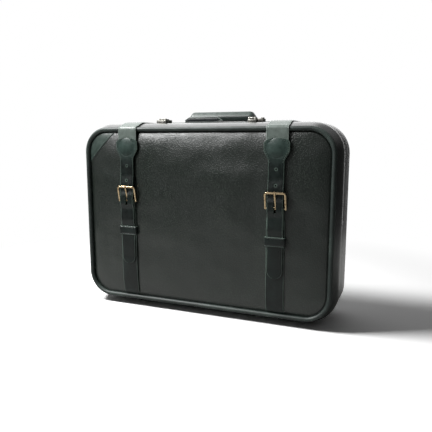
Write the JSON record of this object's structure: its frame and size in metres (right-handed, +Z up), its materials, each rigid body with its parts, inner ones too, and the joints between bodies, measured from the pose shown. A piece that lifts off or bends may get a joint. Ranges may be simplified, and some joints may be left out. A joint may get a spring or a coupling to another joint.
{
  "type": "suitcase",
  "caption": "Upright travel case with a hinged lid, padded faces, buckled leather straps, a drop handle and sliding locks; it opens to pack clothes.",
  "frame": {"origin": "on the floor under the middle of the whole case", "axes": "+X along the case's width, to the right seen from the front; +Y from the strapped front to the back; +Z up"},
  "size_m": [0.608, 0.1718, 0.4562],
  "materials": {
    "leathercloth": "grained green-black leathercloth, satin",
    "panel_cloth": "finely grained dark green leathercloth over padding, satin",
    "piping": "smooth covered piping, semi-gloss",
    "strap_leather": "smooth dark green strap leather with stitched edges, satin",
    "lining": "woven rayon lining, soft sheen",
    "brass": "pale polished brass",
    "nickel": "nickel plate, slightly worn",
    "steel": "pressed steel, brushed"
  },
  "bodies": {
    "case_body": {"body_shell": "leathercloth", "body_lining": "lining", "valance": "steel", "rear_panel": "panel_cloth", "rear_piping": "piping", "handle_board": "strap_leather", "handle_socket_left": "nickel", "handle_socket_right": "nickel", "handle_cover_left": "lining", "handle_cover_right": "lining", "body_feet": "nickel", "back_strap_left": "strap_leather", "back_strap_right": "strap_leather", "lock_case_left": "nickel", "lock_case_right": "nickel", "hinge_body_leaves": "steel", "hinge_pins": "steel"},
    "lid": {"lid_shell": "leathercloth", "lid_lining": "lining", "front_panel": "panel_cloth", "front_piping": "piping", "corner_patch": "strap_leather", "strap_band_left": "strap_leather", "strap_band_right": "strap_leather", "billet_left": "strap_leather", "billet_right": "strap_leather", "buckle_strap_left": "strap_leather", "buckle_strap_right": "strap_leather", "keeper_left": "strap_leather", "keeper_right": "strap_leather", "lid_feet": "nickel", "hasp_base_left": "nickel", "hasp_base_right": "nickel", "hinge_lid_leaves": "steel"},
    "handle": {"handle_grip": "strap_leather", "handle_tongue_left": "steel", "handle_tongue_right": "steel", "handle_tag": "strap_leather"},
    "buckle_left": {"buckle_frame_left": "brass"},
    "tongue_left": {"prong_left": "brass"},
    "hasp_left": {"hasp_left": "nickel"},
    "slider_left": {"lock_slider_left": "nickel"},
    "buckle_right": {"buckle_frame_right": "brass"},
    "tongue_right": {"prong_right": "brass"},
    "hasp_right": {"hasp_right": "nickel"},
    "slider_right": {"lock_slider_right": "nickel"}
  },
  "joints": [
    {"name": "lid_hinge", "type": "hinge", "parent": "case_body", "child": "lid", "pos_m": [0, -0.01556, 0.0043], "axis": [1, 0, 0], "range_deg": [0, 95]},
    {"name": "handle_lift", "type": "slide", "parent": "case_body", "child": "handle", "axis": [0, 0, 1], "range_m": [0, 0.014]},
    {"name": "buckle_tilt_left", "type": "hinge", "parent": "lid", "child": "buckle_left", "pos_m": [-0.176, -0.07465, 0.254], "axis": [1, 0, 0], "range_deg": [0, 35]},
    {"name": "prong_lift_left", "type": "hinge", "parent": "buckle_left", "child": "tongue_left", "pos_m": [-0.176, -0.07465, 0.254], "axis": [1, 0, 0], "range_deg": [0, 65]},
    {"name": "hasp_swing_left", "type": "hinge", "parent": "lid", "child": "hasp_left", "pos_m": [-0.108, -0.02356, 0.439], "axis": [1, 0, 0], "range_deg": [0, 110]},
    {"name": "bolt_slide_left", "type": "slide", "parent": "case_body", "child": "slider_left", "axis": [1, 0, 0], "range_m": [0, 0.0052]},
    {"name": "buckle_tilt_right", "type": "hinge", "parent": "lid", "child": "buckle_right", "pos_m": [0.176, -0.07465, 0.254], "axis": [1, 0, 0], "range_deg": [0, 35]},
    {"name": "prong_lift_right", "type": "hinge", "parent": "buckle_right", "child": "tongue_right", "pos_m": [0.176, -0.07465, 0.254], "axis": [1, 0, 0], "range_deg": [0, 65]},
    {"name": "hasp_swing_right", "type": "hinge", "parent": "lid", "child": "hasp_right", "pos_m": [0.108, -0.02356, 0.439], "axis": [1, 0, 0], "range_deg": [0, 110]},
    {"name": "bolt_slide_right", "type": "slide", "parent": "case_body", "child": "slider_right", "axis": [-1, 0, 0], "range_m": [0, 0.0052]}
  ]
}
